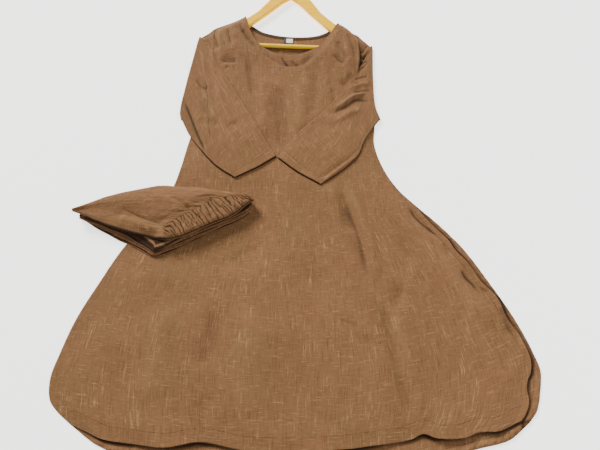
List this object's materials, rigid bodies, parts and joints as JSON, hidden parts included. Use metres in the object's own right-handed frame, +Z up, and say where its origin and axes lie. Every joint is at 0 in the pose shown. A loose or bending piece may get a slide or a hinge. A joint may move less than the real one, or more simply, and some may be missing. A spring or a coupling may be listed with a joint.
{
  "type": "kurta and palazzo set with a clothes hanger, laid flat",
  "caption": "Flared long tunic laid face up with a wooden hanger inside, sleeves folded over the front, and matching wide trousers with a gathered waistband folded on its skirt.",
  "frame": {"origin": "on the surface the set lies on, under the kurta's centre line and 575 mm below its high shoulder point", "axes": "+Y runs up the kurta from hem to neck, +X to the right as the picture shows it, +Z up off the surface"},
  "size_m": [1.005, 1.3439, 0.0368],
  "materials": {
    "cotton_back": "matte slub cotton",
    "cotton_front": "matte slub cotton",
    "cotton_sleeve_left": "matte slub cotton",
    "cotton_sleeve_right": "matte slub cotton",
    "cotton_facing": "matte slub cotton",
    "label_white": "satin woven tape",
    "label_black": "woven tape",
    "cotton_leg_lower": "matte slub cotton",
    "cotton_leg_upper": "matte slub cotton",
    "cotton_waistband": "matte slub cotton",
    "hanger_wood": "clear yellow lacquer",
    "hanger_bar_wood": "clear yellow lacquer",
    "hook_steel": "plated wire"
  },
  "bodies": {
    "root": {"kurta_back": "cotton_back", "kurta_front": "cotton_front", "sleeve_left": "cotton_sleeve_left", "sleeve_right": "cotton_sleeve_right", "back_neck_facing": "cotton_facing", "neck_label": "label_white", "size_tab": "label_black", "palazzo_leg_lower": "cotton_leg_lower", "palazzo_leg_upper": "cotton_leg_upper", "palazzo_waistband": "cotton_waistband", "hanger_arms": "hanger_wood", "hanger_bar": "hanger_bar_wood", "hanger_hook": "hook_steel"}
  },
  "joints": []
}
